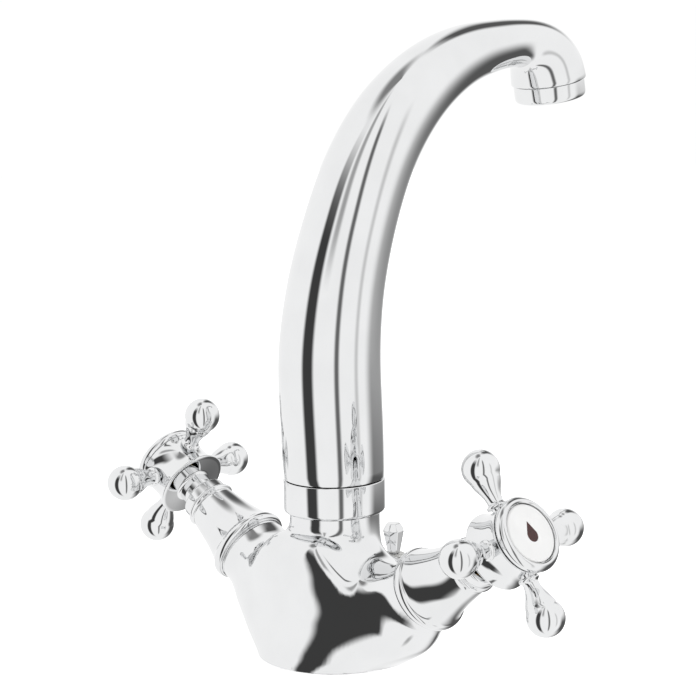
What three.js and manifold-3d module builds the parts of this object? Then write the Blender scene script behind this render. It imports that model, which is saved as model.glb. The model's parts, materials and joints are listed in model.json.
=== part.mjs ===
// Two-handle basin mixer with a high swivel spout, cross handles, ceramic cartridges and a
// pop-up waste lift rod. Millimetres, +Z up, origin at the centre of the seat on the basin deck.
// The spout reaches towards -Y. The hot valve is on -X and the cold valve on +X.
import * as THREE from 'three';
import { mergeVertices } from 'three/addons/utils/BufferGeometryUtils.js';
import Module from 'manifold-3d';

const wasm = await Module();
wasm.setup();

// ---------------------------------------------------------------- clearances and walls
const TOUCH_GAP = 0.3; // between pieces that rest on each other
const RUN_GAP = 0.25; // radial, between a turning or sliding piece and its bore
const CUT_OVERRUN = 2; // how far a cutter runs past the face it cuts

// ---------------------------------------------------------------- foot and belly
const FOOT_RADIUS = 28.5;
const FOOT_HEIGHT = 1.2; // plain band at the deck
const BELLY_LENGTH = 47; // neck axis to a keel's tip, at its longest
const BELLY_WIDTH = 25; // half width, above the foot
// Plan by height: height, shares of the belly's length and width.
const BELLY_STATIONS = [
  [-4, 0.574, 1.08],
  [0.6, 0.606, 1.14],
  [3, 0.702, 1.132],
  [5.8, 0.819, 1.12],
  [10, 0.936, 1.08],
  [14, 0.991, 1.028],
  [18, 1, 0.988],
  [23, 1, 0.992],
  [28, 0.983, 1.008],
  [33, 0.936, 1.008],
  [38, 0.883, 1.008],
  [42.6, 0.766, 0.984],
  [46.5, 0.638, 0.94],
  [52, 0.426, 0.68],
];
const KEEL_EDGE = 2.2; // rounding of the keels under the arms
const SADDLE_Z = 31.8; // lowest height of the belly's shoulder
const SHOULDER_RISE = 14.2;
const SHOULDER_FALL_X = [8, 31]; // the shoulder falls to the saddle between these, from the neck axis
const SHOULDER_FALL_Y = [2, 16]; // and on the lift rod's side between these
const SHOULDER_ROUNDING = 5;
const SHOULDER_SCALE = 0.8; // keeps the sloped shoulder's distance near true
const RECESS_RADIUS = 20; // hollow under the foot
const RECESS_DEPTH = 6;
const GASKET_WIDTH = 4;
const GASKET_THICKNESS = 2.2;
const GASKET_PROUD = 0.6; // the gasket lifts the metal foot off the deck

// ---------------------------------------------------------------- neck and swivel
const NECK_RADIUS = 16;
const COLLAR_RADIUS = NECK_RADIUS + 2;
const COLLAR_BOTTOM_Z = 52;
const SPOUT_SEAT_Z = 64;
const COLLAR_CHAMFER = 0.8;
const SPIGOT_RADIUS = NECK_RADIUS - 1.8; // turned end of the neck, inside the collar
const NECK_BORE_RADIUS = NECK_RADIUS - 6.5;
const MIXING_FLOOR_Z = 24;
const MIXING_RADIUS = 6.5;
const NIPPLE_BORE_RADIUS = 5.5;
const NIPPLE_DEPTH = 30; // how far the spout's nipple reaches down the neck
const NIPPLE_RISE = 11; // how far it is pressed up into the spout
const ORING_SECTION = 1.1; // radius of the swivel O-ring's round section
const ORING_DEPTHS = [13, 21]; // below the spout seat
const SLIP_RING_HEIGHT = 1.6;
const CLIP_HEIGHT = 1.4;
const CLIP_DEPTH = 6; // retaining clip below the spout seat
const CLIP_OUTER = NECK_BORE_RADIUS + 0.9; // the clip stands into a groove in the neck bore

// ---------------------------------------------------------------- spout
const SPOUT_REACH = 119; // neck axis to outlet centre
const SPOUT_TOP_Z = 211.5; // highest point of the centreline
const SPOUT_WALL = 2.2;
const OUTLET_Z = 196.7;
const OUTLET_TILT = 10.3; // degrees, the stream leans away from the neck
const OUTLET_RADIUS = 14.3;
const TUBE_RADIUS = COLLAR_RADIUS - 0.2; // where it leaves the collar
// Points up the tube's centreline: shares of the reach, of the rise and of the tube's radius.
const TUBE_STATIONS = [
  [0, 0, 1],
  [-0.004, 0.105, 1.017],
  [-0.009, 0.21, 1.02],
  [-0.008, 0.3, 1.008],
  [0.003, 0.375, 0.986],
  [0.022, 0.45, 0.961],
  [0.083, 0.595, 0.91],
  [0.178, 0.744, 0.86],
  [0.244, 0.812, 0.826],
  [0.325, 0.873, 0.781],
  [0.417, 0.923, 0.725],
  [0.515, 0.96, 0.663],
  [0.618, 0.984, 0.596],
  [0.73, 0.997, 0.534],
];
// Sections round the drop to the outlet, from the outlet's centre: back of the bend (y, z),
// inside of the bend (y, z) and half width.
const DROP_STATIONS = [
  [17, 23.7, 19.6, 6.1, 9.1],
  [5, 22.4, 17.2, 5.4, 10.2],
  [-4.9, 18.2, 15.8, 3.9, 11.7],
  [-11, 11.4, 15, 1.7, 13.3],
];
const SPOUT_RINGS = 30;
const SPOUT_SIDES = 20;
const CHANNEL_RINGS = 18;
const CHANNEL_SIDES = 8;

// ---------------------------------------------------------------- aerator
const AERATOR_RADIUS = 13.5;
const AERATOR_PROUD = 6.85;
const AERATOR_THREAD_RADIUS = 11.6;
const AERATOR_THREAD_LENGTH = 5;
const AERATOR_WALL = 1.6;
const AERATOR_LIP = 1.3;

// ---------------------------------------------------------------- valve arms
const ARM_PITCH = 31.2; // degrees above the deck
const ARM_ORIGIN_Z = 3.9; // where both arm axes cross the neck axis
const ARM_END = 50; // along the arm axis from that crossing
const ARM_RADIUS = 14.1;
const ARM_WAIST = 1.7; // how much slimmer the arm is beside the sleeve
const ARM_WAIST_AT = [37, 47]; // along the arm axis
const ARM_INNER = 22; // start of the arm's cylinder
const SADDLE_BLEND = 18; // width of the blend between arm and neck
const ARM_BLEND = 9; // and between arm and belly
const NECK_ROOT_Z = 20;
const VALVE_BORE_RADIUS = 10.6;
const VALVE_SEAT = 30; // along the arm axis
const INLET_RADIUS = 4;
const OUTLET_PASSAGE_RADIUS = 2.6;
const PORT_X = 12;
const PORT_RADIUS = 4.6;

// ---------------------------------------------------------------- valve sleeve
const SLEEVE_LENGTH = 31;
const SLEEVE_WALL = 1.6;
const SLEEVE_RIM_RADIUS = 15;
const SLEEVE_END_RADIUS = 8.8;

// ---------------------------------------------------------------- cartridge
const CARTRIDGE_RADIUS = VALVE_BORE_RADIUS - 1.2;
const CARTRIDGE_HEX_ACROSS = 19;
const CARTRIDGE_NOSE_RADIUS = 6.4;
const SEAL_HEIGHT = 2.6;
const DISC_RADIUS = CARTRIDGE_RADIUS - 2.2;
const DISC_HEIGHT = 2.4;
const SPINDLE_RADIUS = 4;
const SPINDLE_FOOT_RADIUS = DISC_RADIUS - 0.6;
const SPINDLE_SPLINE_RADIUS = 3.4;
const SPINDLE_TIP = 96; // along the arm axis
const SPINDLE_CLIP_WIDTH = 1.1;

// ---------------------------------------------------------------- handle
const HUB_GAP = 1; // between the sleeve's end and the hub's skirt
const SKIRT_RADIUS = 6.2;
const FLANGE_AT = 89; // along the arm axis
const FLANGE_RADIUS = 13.6;
const FLANGE_EDGE = 0.9;
const HUB_RADIUS = 11.8; // at its waist
const SPOKE_PLANE = 96.64;
const CAP_FACE = 106.4;
const CAP_RADIUS = 13.2;
const CAP_LENGTH = 4;
const INDEX_RADIUS = 10.2;
const INDEX_HEIGHT = 2.2;
const SPOKE_COUNT = 4;
const BALL_CIRCLE_RADIUS = 26.8;
const BALL_RADIUS = 6.55;
const SPOKE_SHANK_RADIUS = 2.2;
const SPOKE_SHANK_DEPTH = 3.5; // how far the shank screws into the hub

// ---------------------------------------------------------------- pop-up lift rod
const ROD_Y = -30;
const ROD_RADIUS = 1.5;
const ROD_BOTTOM_Z = 3;
const KNOB_BASE_Z = 30.5;
const KNOB_WIDEST_Z = 38.8;
const KNOB_TOP_Z = 41.4;
const KNOB_SIDES = 8;
const KNOB_TURN = 20; // degrees
const KNOB_FOOT_RADIUS = 2.4;
const KNOB_WIDEST_RADIUS = 4.1;
const KNOB_TOP_RADIUS = 2.6;
const BUSH_RADIUS = 3;
const BUSH_FLANGE_RADIUS = 4;
const BUSH_FLANGE_HEIGHT = 1;
const BUSH_LENGTH = 9;
const ROD_BOSS_RADIUS = 5.6;
const ROD_CLEARANCE = 1; // round the rod below its bush

// ---------------------------------------------------------------- facet counts
const ROUND = 28;
const ROUND_SMALL = 14;
const ROUND_TINY = 10;

// ---------------------------------------------------------------- derived sizes and seats
const BOSS_TOP_Z = 29; // of the boss round the lift rod
const EYE_Z = 22; // the body's outside is seen whole from here
const GASKET_OUTER = FOOT_RADIUS - 1.5;
const GASKET_INNER = GASKET_OUTER - GASKET_WIDTH;
const GASKET_TOP_Z = GASKET_THICKNESS;
const INLET_START = 11;
const PORT_TOP_Z = 12;
const BUSH_TOP_Z = BOSS_TOP_Z;
const NIPPLE_RADIUS = NECK_BORE_RADIUS - RUN_GAP;
const ORING_GROOVE = 2 * ORING_SECTION + 2 * TOUCH_GAP;
const GROOVE_FLOOR = NIPPLE_RADIUS - 2 * ORING_SECTION;
const CLIP_GROOVE_FLOOR = NIPPLE_RADIUS - 1;
const SPOUT_SOCKET_RADIUS = SPIGOT_RADIUS + 1;
const CHANNEL_START = 0.05;
const CHANNEL_END = 0.93;
const AERATOR_POCKET = AERATOR_THREAD_LENGTH + 1.6;
const SLEEVE_START = ARM_END + TOUCH_GAP;
const SLEEVE_END = SLEEVE_START + SLEEVE_LENGTH;
const ROUND_SLEEVE = 20;
const SEAL_AT = VALVE_SEAT + TOUCH_GAP;
const FIXED_AT = SEAL_AT + SEAL_HEIGHT + TOUCH_GAP;
const MOVING_AT = FIXED_AT + DISC_HEIGHT + TOUCH_GAP;
const SPINDLE_AT = MOVING_AT + DISC_HEIGHT + TOUCH_GAP;
const SPINDLE_FOOT = 2.5;
const CHAMBER_TOP = SPINDLE_AT + SPINDLE_FOOT + TOUCH_GAP;
const THREAD_LENGTH = 8;
const HEX_AT = ARM_END + TOUCH_GAP;
const HEX_HEIGHT = 5.5;
const NOSE_TOP = HEX_AT + HEX_HEIGHT + 15;
const GLAND_AT = HEX_AT + 2;
const SPINDLE_CLIP_AT = NOSE_TOP + TOUCH_GAP;
const SPINDLE_GROOVE = 1;
const SCREW_RADIUS = 1.6;
const SCREW_LENGTH = 8;
const SCREW_HEAD_RADIUS = 4.6;
const SCREW_HEAD_HEIGHT = 3;
const HUB_START = SLEEVE_END + HUB_GAP;
const CAP_BACK = CAP_FACE - CAP_LENGTH;
const HUB_FACE = CAP_BACK - TOUCH_GAP;
const SCREW_SEAT = SPINDLE_TIP + TOUCH_GAP;
const INDEX_AT = CAP_BACK + 1 + TOUCH_GAP;
const MARK_DEPTH = 0.8;
const MARK_RADIUS = 2;
const ROD_INTO_KNOB = 5;

const rad = THREE.MathUtils.degToRad;

// ================================================================ geometry helpers

// Shared vertices merged, slivers dropped and faces turned outwards.
function closed(geometry) {
  const bare = geometry.clone();
  for (const name of Object.keys(bare.attributes)) {
    if (name !== 'position') bare.deleteAttribute(name);
  }
  const merged = mergeVertices(bare, 1e-4);
  const index = merged.index.array;
  const position = merged.attributes.position;
  const kept = [];
  let volume = 0;
  const [a, b, c] = [new THREE.Vector3(), new THREE.Vector3(), new THREE.Vector3()];
  for (let i = 0; i < index.length; i += 3) {
    const [i0, i1, i2] = [index[i], index[i + 1], index[i + 2]];
    if (i0 === i1 || i1 === i2 || i2 === i0) continue;
    kept.push(i0, i1, i2);
    a.fromBufferAttribute(position, i0);
    b.fromBufferAttribute(position, i1);
    c.fromBufferAttribute(position, i2);
    volume += a.dot(b.cross(c));
  }
  if (volume < 0) kept.reverse();
  merged.setIndex(kept);
  return merged;
}

function solidOf(geometry) {
  const shape = closed(geometry);
  const mesh = new wasm.Mesh({
    numProp: 3,
    vertProperties: new Float32Array(shape.attributes.position.array),
    triVerts: new Uint32Array(shape.index.array),
  });
  return new wasm.Manifold(mesh);
}

function geometryOf(solid) {
  const mesh = solid.getMesh();
  const geometry = new THREE.BufferGeometry();
  geometry.setAttribute('position', new THREE.BufferAttribute(new Float32Array(mesh.vertProperties), 3));
  geometry.setIndex(new THREE.BufferAttribute(new Uint32Array(mesh.triVerts), 1));
  return geometry;
}

function cut(geometry, ...tools) {
  let solid = solidOf(geometry);
  for (const tool of tools) solid = solid.subtract(solidOf(tool));
  return geometryOf(solid);
}

function join(geometry, ...others) {
  let solid = solidOf(geometry);
  for (const other of others) solid = solid.add(solidOf(other));
  return geometryOf(solid);
}

// A profile of [radius, height] pairs turned about Z.
function turned(profile, segments = ROUND) {
  const points = profile.map(([r, h]) => new THREE.Vector2(r, h));
  return new THREE.LatheGeometry(points, segments).rotateX(Math.PI / 2);
}

// A ring with a rectangular section, bottom at z.
function ring(inner, outer, z, height, segments = ROUND) {
  const profile = [[inner, z], [outer, z], [outer, z + height], [inner, z + height], [inner, z]];
  return turned(profile, segments);
}

function rod(radius, z, height, segments = ROUND) {
  return turned([[0, z], [radius, z], [radius, z + height], [0, z + height]], segments);
}

// A ring with a round section.
function roundRing(radius, section, z, segments = ROUND, sides = 10) {
  const torus = new THREE.TorusGeometry(radius, section, sides, segments);
  return torus.rotateZ(Math.PI / 2).translate(0, 0, z); // corners in line with turned()
}

// A prism of the given number of flats, bottom at z.
function prism(across, sides, z, height) {
  const corner = across / 2 / Math.cos(Math.PI / sides);
  return turned([[0, z], [corner, z], [corner, z + height], [0, z + height]], sides);
}

// Closed skin through rings that all have the same number of points.
function skin(rings) {
  const count = rings[0].length;
  const positions = [];
  const index = [];
  for (const points of rings) {
    for (const p of points) positions.push(p.x, p.y, p.z);
  }
  for (let k = 0; k < rings.length - 1; k += 1) {
    for (let i = 0; i < count; i += 1) {
      const j = (i + 1) % count;
      const [low, high] = [k * count, (k + 1) * count];
      index.push(low + i, low + j, high + j, low + i, high + j, high + i);
    }
  }
  const centres = [rings[0], rings[rings.length - 1]].map((points) => {
    const centre = new THREE.Vector3();
    for (const p of points) centre.addScaledVector(p, 1 / count);
    positions.push(centre.x, centre.y, centre.z);
    return positions.length / 3 - 1;
  });
  const last = (rings.length - 1) * count;
  for (let i = 0; i < count; i += 1) {
    const j = (i + 1) % count;
    index.push(centres[0], j, i, centres[1], last + i, last + j);
  }
  const geometry = new THREE.BufferGeometry();
  geometry.setAttribute('position', new THREE.Float32BufferAttribute(positions, 3));
  geometry.setIndex(index);
  return geometry;
}

// ================================================================ arm frame

// Matrix of an arm: local +Z runs out along the arm axis. side is -1 for hot, +1 for cold.
function armMatrix(side) {
  const turn = new THREE.Matrix4().makeRotationY(side * rad(90 - ARM_PITCH));
  return new THREE.Matrix4().makeTranslation(0, 0, ARM_ORIGIN_Z).multiply(turn);
}

function onArm(side, geometry) {
  return geometry.applyMatrix4(armMatrix(side));
}

// ================================================================ body casting

// Two distances blended into one smooth surface over a width.
function blend(a, b, width) {
  const h = Math.max(width - Math.abs(a - b), 0) / width;
  return Math.min(a, b) - h * h * width * 0.25;
}

// The outside of the two, with the edge between them rounded.
function overlap(a, b, width) {
  return -blend(-a, -b, width);
}

// From 0 at start to 1 at end, level at both.
function easeBetween(value, start, end) {
  return THREE.MathUtils.smoothstep(value, start, end);
}

// Signed distance (roughly) to the body's outside: belly with its shoulder, arms, neck, rod boss.
function bodyDistance(x, y, z) {
  const ax = Math.abs(x);
  const pitch = rad(ARM_PITCH);
  const towardsArm = 1 - easeBetween(ax, ...SHOULDER_FALL_X);
  const awayFromRod = 1 - easeBetween(-y, ...SHOULDER_FALL_Y);
  const shoulder = SADDLE_Z + SHOULDER_RISE * towardsArm * awayFromRod;
  const carved = overlap(bellyDistance(ax, y, z), (z - shoulder) * SHOULDER_SCALE, SHOULDER_ROUNDING);
  const along = ax * Math.cos(pitch) + (z - ARM_ORIGIN_Z) * Math.sin(pitch);
  const above = (z - ARM_ORIGIN_Z) * Math.cos(pitch) - ax * Math.sin(pitch);
  const radius = ARM_RADIUS - ARM_WAIST * easeBetween(along, ...ARM_WAIST_AT);
  const arm = Math.max(Math.hypot(y, above) - radius, ARM_INNER - along);
  const neck = Math.max(Math.hypot(x, y) - NECK_RADIUS, NECK_ROOT_Z - z);
  const whole = blend(blend(arm, neck, SADDLE_BLEND), blend(arm, carved, ARM_BLEND), 3);
  const boss = Math.max(Math.hypot(x, y - ROD_Y) - ROD_BOSS_RADIUS, z - BOSS_TOP_Z);
  return blend(whole, boss, 5);
}

// The belly: two long arcs in plan that meet in a keel towards each arm.
function bellyDistance(ax, y, z) {
  const [length, width] = bellyPlan(z);
  const arc = (length * length + width * width) / (2 * width);
  return 0.9 * (Math.hypot(ax, Math.hypot(y, KEEL_EDGE) + arc - width) - arc);
}

// Half length and half width of the belly at a height.
function bellyPlan(z) {
  const last = BELLY_STATIONS.length - 1;
  let k = 1;
  while (k < last && z > BELLY_STATIONS[k][0]) k += 1;
  const [lowZ, lowLength, lowWidth] = BELLY_STATIONS[k - 1];
  const [highZ, highLength, highWidth] = BELLY_STATIONS[k];
  const share = THREE.MathUtils.clamp((z - lowZ) / (highZ - lowZ), 0, 1);
  return [
    BELLY_LENGTH * THREE.MathUtils.lerp(lowLength, highLength, share),
    BELLY_WIDTH * THREE.MathUtils.lerp(lowWidth, highWidth, share),
  ];
}

// The body's outside as rays cast from one inner point.
function bodySkin(columns = 48, rows = 32) {
  const eye = new THREE.Vector3(0, 0, EYE_Z);
  const rings = [];
  for (let k = 1; k < rows; k += 1) {
    const polar = (Math.PI * k) / rows;
    const points = [];
    for (let i = 0; i < columns; i += 1) {
      const turn = (2 * Math.PI * i) / columns;
      const ray = new THREE.Vector3(
        Math.sin(polar) * Math.cos(turn),
        Math.sin(polar) * Math.sin(turn),
        Math.cos(polar),
      );
      points.push(ray.multiplyScalar(castRay(eye, ray)).add(eye));
    }
    rings.push(points);
  }
  return skin(rings);
}

// Distance from the eye to the body's outside along a ray, by halving.
function castRay(eye, ray) {
  let [inside, outside] = [5, 90];
  for (let step = 0; step < 24; step += 1) {
    const middle = (inside + outside) / 2;
    const d = bodyDistance(eye.x + ray.x * middle, eye.y + ray.y * middle, eye.z + ray.z * middle);
    if (d < 0) inside = middle;
    else outside = middle;
  }
  return inside;
}

function bodyCasting() {
  const foot = GASKET_PROUD;
  const trim = rod(120, -100, 100 + foot, ROUND_TINY);
  const above = rod(60, COLLAR_BOTTOM_Z - TOUCH_GAP, 90, ROUND_TINY);
  const ends = [-1, 1].map((side) => onArm(side, rod(40, ARM_END, 60, ROUND_TINY)));
  const blank = cut(bodySkin(), trim, above, ...ends);
  const spigotTop = SPOUT_SEAT_Z - SLIP_RING_HEIGHT - 2 * TOUCH_GAP;
  const spigot = rod(SPIGOT_RADIUS, COLLAR_BOTTOM_Z - 4, spigotTop - COLLAR_BOTTOM_Z + 4);
  const band = rod(FOOT_RADIUS, foot, FOOT_HEIGHT);
  const whole = join(blank, spigot, band);
  return cut(whole, ...bodyHollows());
}

function bodyHollows() {
  const top = SPOUT_SEAT_Z + CUT_OVERRUN;
  const nippleFloor = SPOUT_SEAT_Z - NIPPLE_DEPTH - 1;
  const clipFloor = SPOUT_SEAT_Z - CLIP_DEPTH - CLIP_HEIGHT / 2 - TOUCH_GAP;
  const besideNeck = (tool) => tool.translate(0, ROD_Y, 0);
  const tools = [
    rod(RECESS_RADIUS, -CUT_OVERRUN, CUT_OVERRUN + RECESS_DEPTH),
    ring(GASKET_INNER - TOUCH_GAP, GASKET_OUTER + TOUCH_GAP, -1, GASKET_TOP_Z + TOUCH_GAP + 1),
    rod(NECK_BORE_RADIUS, nippleFloor, top - nippleFloor),
    rod(MIXING_RADIUS, MIXING_FLOOR_Z, top - MIXING_FLOOR_Z, ROUND_SMALL),
    rod(CLIP_OUTER + TOUCH_GAP, clipFloor, CLIP_HEIGHT + 2 * TOUCH_GAP),
    besideNeck(rod(BUSH_RADIUS + TOUCH_GAP, BUSH_TOP_Z - BUSH_LENGTH - TOUCH_GAP, 60, ROUND_TINY)),
    besideNeck(rod(ROD_RADIUS + ROD_CLEARANCE, -CUT_OVERRUN, 60, ROUND_TINY)),
    besideNeck(rod(BUSH_FLANGE_RADIUS + 2 * TOUCH_GAP, BUSH_TOP_Z, 60, ROUND_TINY)),
  ];
  for (const side of [-1, 1]) {
    tools.push(onArm(side, rod(VALVE_BORE_RADIUS, VALVE_SEAT, ARM_END - VALVE_SEAT + CUT_OVERRUN)));
    tools.push(onArm(side, rod(INLET_RADIUS, INLET_START, VALVE_SEAT - INLET_START + 1, ROUND_SMALL)));
    const port = rod(PORT_RADIUS, -CUT_OVERRUN, CUT_OVERRUN + PORT_TOP_Z, ROUND_SMALL);
    tools.push(port.translate(side * PORT_X, 0, 0));
    tools.push(mixingPassage(side));
  }
  return tools;
}

// From the top of a valve bore to the mixing chamber.
function mixingPassage(side) {
  const length = 24;
  const radius = OUTLET_PASSAGE_RADIUS;
  const passage = new THREE.CylinderGeometry(radius, radius, length, ROUND_TINY);
  return passage.rotateZ(Math.PI / 2).translate(side * (length / 2 + 3), 0, MIXING_FLOOR_Z + 4);
}

function baseGasket() {
  return ring(GASKET_INNER, GASKET_OUTER, 0, GASKET_THICKNESS);
}

// ================================================================ swivel

function collarNut() {
  const top = SPOUT_SEAT_Z - TOUCH_GAP;
  const inner = SPIGOT_RADIUS + TOUCH_GAP;
  return turned([
    [inner, COLLAR_BOTTOM_Z],
    [COLLAR_RADIUS - COLLAR_CHAMFER, COLLAR_BOTTOM_Z],
    [COLLAR_RADIUS, COLLAR_BOTTOM_Z + COLLAR_CHAMFER],
    [COLLAR_RADIUS, top],
    [inner, top],
    [inner, COLLAR_BOTTOM_Z],
  ]);
}

function slipRing() {
  const z = SPOUT_SEAT_Z - SLIP_RING_HEIGHT - TOUCH_GAP;
  return ring(NECK_BORE_RADIUS + TOUCH_GAP, SPIGOT_RADIUS - TOUCH_GAP, z, SLIP_RING_HEIGHT);
}

function spoutNipple() {
  const groove = (depth, height, floor) => {
    const middle = SPOUT_SEAT_Z - depth;
    return [
      [NIPPLE_RADIUS, middle - height / 2],
      [floor, middle - height / 2],
      [floor, middle + height / 2],
      [NIPPLE_RADIUS, middle + height / 2],
    ];
  };
  const bottom = SPOUT_SEAT_Z - NIPPLE_DEPTH;
  const flange = SPOUT_SEAT_Z + TOUCH_GAP;
  const [upper, lower] = ORING_DEPTHS;
  return turned([
    [NIPPLE_BORE_RADIUS, bottom],
    [NIPPLE_RADIUS, bottom],
    ...groove(lower, ORING_GROOVE, GROOVE_FLOOR),
    ...groove(upper, ORING_GROOVE, GROOVE_FLOOR),
    ...groove(CLIP_DEPTH, CLIP_HEIGHT + 2 * TOUCH_GAP, CLIP_GROOVE_FLOOR),
    [NIPPLE_RADIUS, flange],
    [SPOUT_SOCKET_RADIUS - TOUCH_GAP, flange],
    [SPOUT_SOCKET_RADIUS - TOUCH_GAP, flange + NIPPLE_RISE],
    [NIPPLE_BORE_RADIUS, flange + NIPPLE_RISE],
    [NIPPLE_BORE_RADIUS, bottom],
  ], ROUND_SMALL);
}

function swivelORing(depth) {
  const radius = NIPPLE_RADIUS - ORING_SECTION + 0.05;
  return roundRing(radius, ORING_SECTION - 0.15, SPOUT_SEAT_Z - depth, ROUND_SMALL, 6);
}

// A flat ring with a gap in it.
function clipRing(inner, outer, z, height, openAngle) {
  const start = openAngle / 2;
  const shape = new THREE.Shape();
  shape.absarc(0, 0, outer, start, 2 * Math.PI - start, false);
  shape.absarc(0, 0, inner, 2 * Math.PI - start, start, true);
  const options = { depth: height, bevelEnabled: false, curveSegments: 12 };
  return new THREE.ExtrudeGeometry(shape, options).translate(0, 0, z);
}

function retainingClip() {
  const z = SPOUT_SEAT_Z - CLIP_DEPTH - CLIP_HEIGHT / 2;
  return clipRing(CLIP_GROOVE_FLOOR + TOUCH_GAP, CLIP_OUTER, z, CLIP_HEIGHT, rad(50));
}

// ================================================================ spout

// Sections of the spout as [back point, inside point, half width] from the seat to the outlet.
function spoutSections() {
  const rise = SPOUT_TOP_Z - SPOUT_SEAT_Z;
  const centres = TUBE_STATIONS.map(([out, up]) => (
    new THREE.Vector3(0, -SPOUT_REACH * out, SPOUT_SEAT_Z + rise * up)
  ));
  const sections = TUBE_STATIONS.map(([, , share], i) => {
    const radius = TUBE_RADIUS * share;
    const before = centres[Math.max(i - 1, 0)];
    const after = centres[Math.min(i + 1, centres.length - 1)];
    const ahead = i === 0 ? new THREE.Vector3(0, 0, 1) : after.clone().sub(before).normalize();
    const outward = new THREE.Vector3(0, ahead.z, -ahead.y).multiplyScalar(radius);
    return [centres[i].clone().add(outward), centres[i].clone().sub(outward), radius];
  });
  const outlet = new THREE.Vector3(0, -SPOUT_REACH, OUTLET_Z);
  for (const [backY, backZ, insideY, insideZ, half] of DROP_STATIONS) {
    const back = new THREE.Vector3(0, backY, backZ).add(outlet);
    const inside = new THREE.Vector3(0, insideY, insideZ).add(outlet);
    sections.push([back, inside, half]);
  }
  const lip = new THREE.Vector3(0, -Math.cos(rad(OUTLET_TILT)), Math.sin(rad(OUTLET_TILT)));
  const back = outlet.clone().addScaledVector(lip, OUTLET_RADIUS);
  const inside = outlet.clone().addScaledVector(lip, -OUTLET_RADIUS);
  sections.push([back, inside, OUTLET_RADIUS]);
  return sections;
}

// Rings of a smooth tube through the sections, with the wall taken off.
function spoutRings(count, sides, wall, from, to) {
  const sections = spoutSections();
  const backs = new THREE.CatmullRomCurve3(sections.map((s) => s[0]));
  const insides = new THREE.CatmullRomCurve3(sections.map((s) => s[1]));
  const halves = new THREE.CatmullRomCurve3(sections.map((s, i) => new THREE.Vector3(i, s[2], 0)));
  const rings = [];
  for (let k = 0; k < count; k += 1) {
    const t = from + ((to - from) * k) / (count - 1);
    const back = backs.getPoint(t);
    const inside = insides.getPoint(t);
    const middle = back.clone().add(inside).multiplyScalar(0.5);
    const depth = back.clone().sub(middle);
    depth.setLength(depth.length() - wall);
    const half = halves.getPoint(t).y - wall;
    const points = [];
    for (let i = 0; i < sides; i += 1) {
      const turn = (2 * Math.PI * i) / sides;
      const point = middle.clone().addScaledVector(depth, Math.cos(turn));
      point.x += half * Math.sin(turn);
      points.push(point);
    }
    rings.push(points);
  }
  return rings;
}

// Local +Z of the outlet frame points back up into the spout.
function atOutlet(geometry) {
  const tilt = new THREE.Matrix4().makeRotationX(rad(-OUTLET_TILT));
  const place = new THREE.Matrix4().makeTranslation(0, -SPOUT_REACH, OUTLET_Z);
  return geometry.applyMatrix4(place.multiply(tilt));
}

function spout() {
  const outside = skin(spoutRings(SPOUT_RINGS, SPOUT_SIDES, 0, 0, 1));
  const channel = skin(spoutRings(CHANNEL_RINGS, CHANNEL_SIDES, SPOUT_WALL, CHANNEL_START, CHANNEL_END));
  const socketDepth = NIPPLE_RISE + 2 * TOUCH_GAP;
  const socket = rod(SPOUT_SOCKET_RADIUS, SPOUT_SEAT_Z - CUT_OVERRUN, CUT_OVERRUN + socketDepth);
  const mouth = rod(AERATOR_THREAD_RADIUS + TOUCH_GAP, -CUT_OVERRUN, CUT_OVERRUN + AERATOR_POCKET);
  return cut(outside, channel, socket, atOutlet(mouth));
}

// ================================================================ aerator

function aeratorHousing() {
  const inner = AERATOR_THREAD_RADIUS - AERATOR_WALL;
  return atOutlet(turned([
    [inner - AERATOR_LIP, -AERATOR_PROUD],
    [AERATOR_RADIUS - 1.2, -AERATOR_PROUD],
    [AERATOR_RADIUS - 0.3, -AERATOR_PROUD + 0.4],
    [AERATOR_RADIUS, -AERATOR_PROUD + 1.4],
    [AERATOR_RADIUS, -TOUCH_GAP],
    [AERATOR_THREAD_RADIUS, -TOUCH_GAP],
    [AERATOR_THREAD_RADIUS, AERATOR_THREAD_LENGTH],
    [inner, AERATOR_THREAD_LENGTH],
    [inner, -AERATOR_PROUD + 1.4],
    [inner - AERATOR_LIP, -AERATOR_PROUD + 1.4],
    [inner - AERATOR_LIP, -AERATOR_PROUD],
  ]));
}

function aeratorWasher() {
  const z = AERATOR_THREAD_LENGTH + TOUCH_GAP;
  return atOutlet(ring(7.5, AERATOR_THREAD_RADIUS - TOUCH_GAP, z, 1, ROUND_SMALL));
}

// Plastic flow straightener: a cup whose floor has a ring of holes.
function aeratorInsert() {
  const outer = AERATOR_THREAD_RADIUS - AERATOR_WALL - TOUCH_GAP;
  const bottom = -AERATOR_PROUD + 1.4 + TOUCH_GAP;
  const top = AERATOR_THREAD_LENGTH - TOUCH_GAP;
  const cup = cut(
    rod(outer, bottom + 2, top - bottom - 2, ROUND_SMALL),
    rod(outer - 1.5, bottom + 5, top, ROUND_SMALL),
  );
  const holes = [];
  for (let i = 0; i < 6; i += 1) {
    const hole = rod(1.4, bottom, 8, 8).translate(5, 0, 0);
    holes.push(hole.rotateZ((i * Math.PI) / 3));
  }
  return atOutlet(cut(cup, ...holes));
}

// Woven screen, as a thin pierced disc.
function aeratorScreen() {
  const outer = AERATOR_THREAD_RADIUS - AERATOR_WALL - TOUCH_GAP;
  const bottom = -AERATOR_PROUD + 1.4 + TOUCH_GAP;
  const slots = [];
  for (let i = -2; i <= 2; i += 1) {
    slots.push(new THREE.BoxGeometry(1.6, 14 - 2 * Math.abs(i), 6).translate(i * 3, 0, bottom));
  }
  return atOutlet(cut(rod(outer, bottom, 1, ROUND_SMALL), ...slots));
}

// ================================================================ valve sleeve and cartridge
// These shapes are in an arm's own frame, local +Z outwards along the arm axis.

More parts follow.
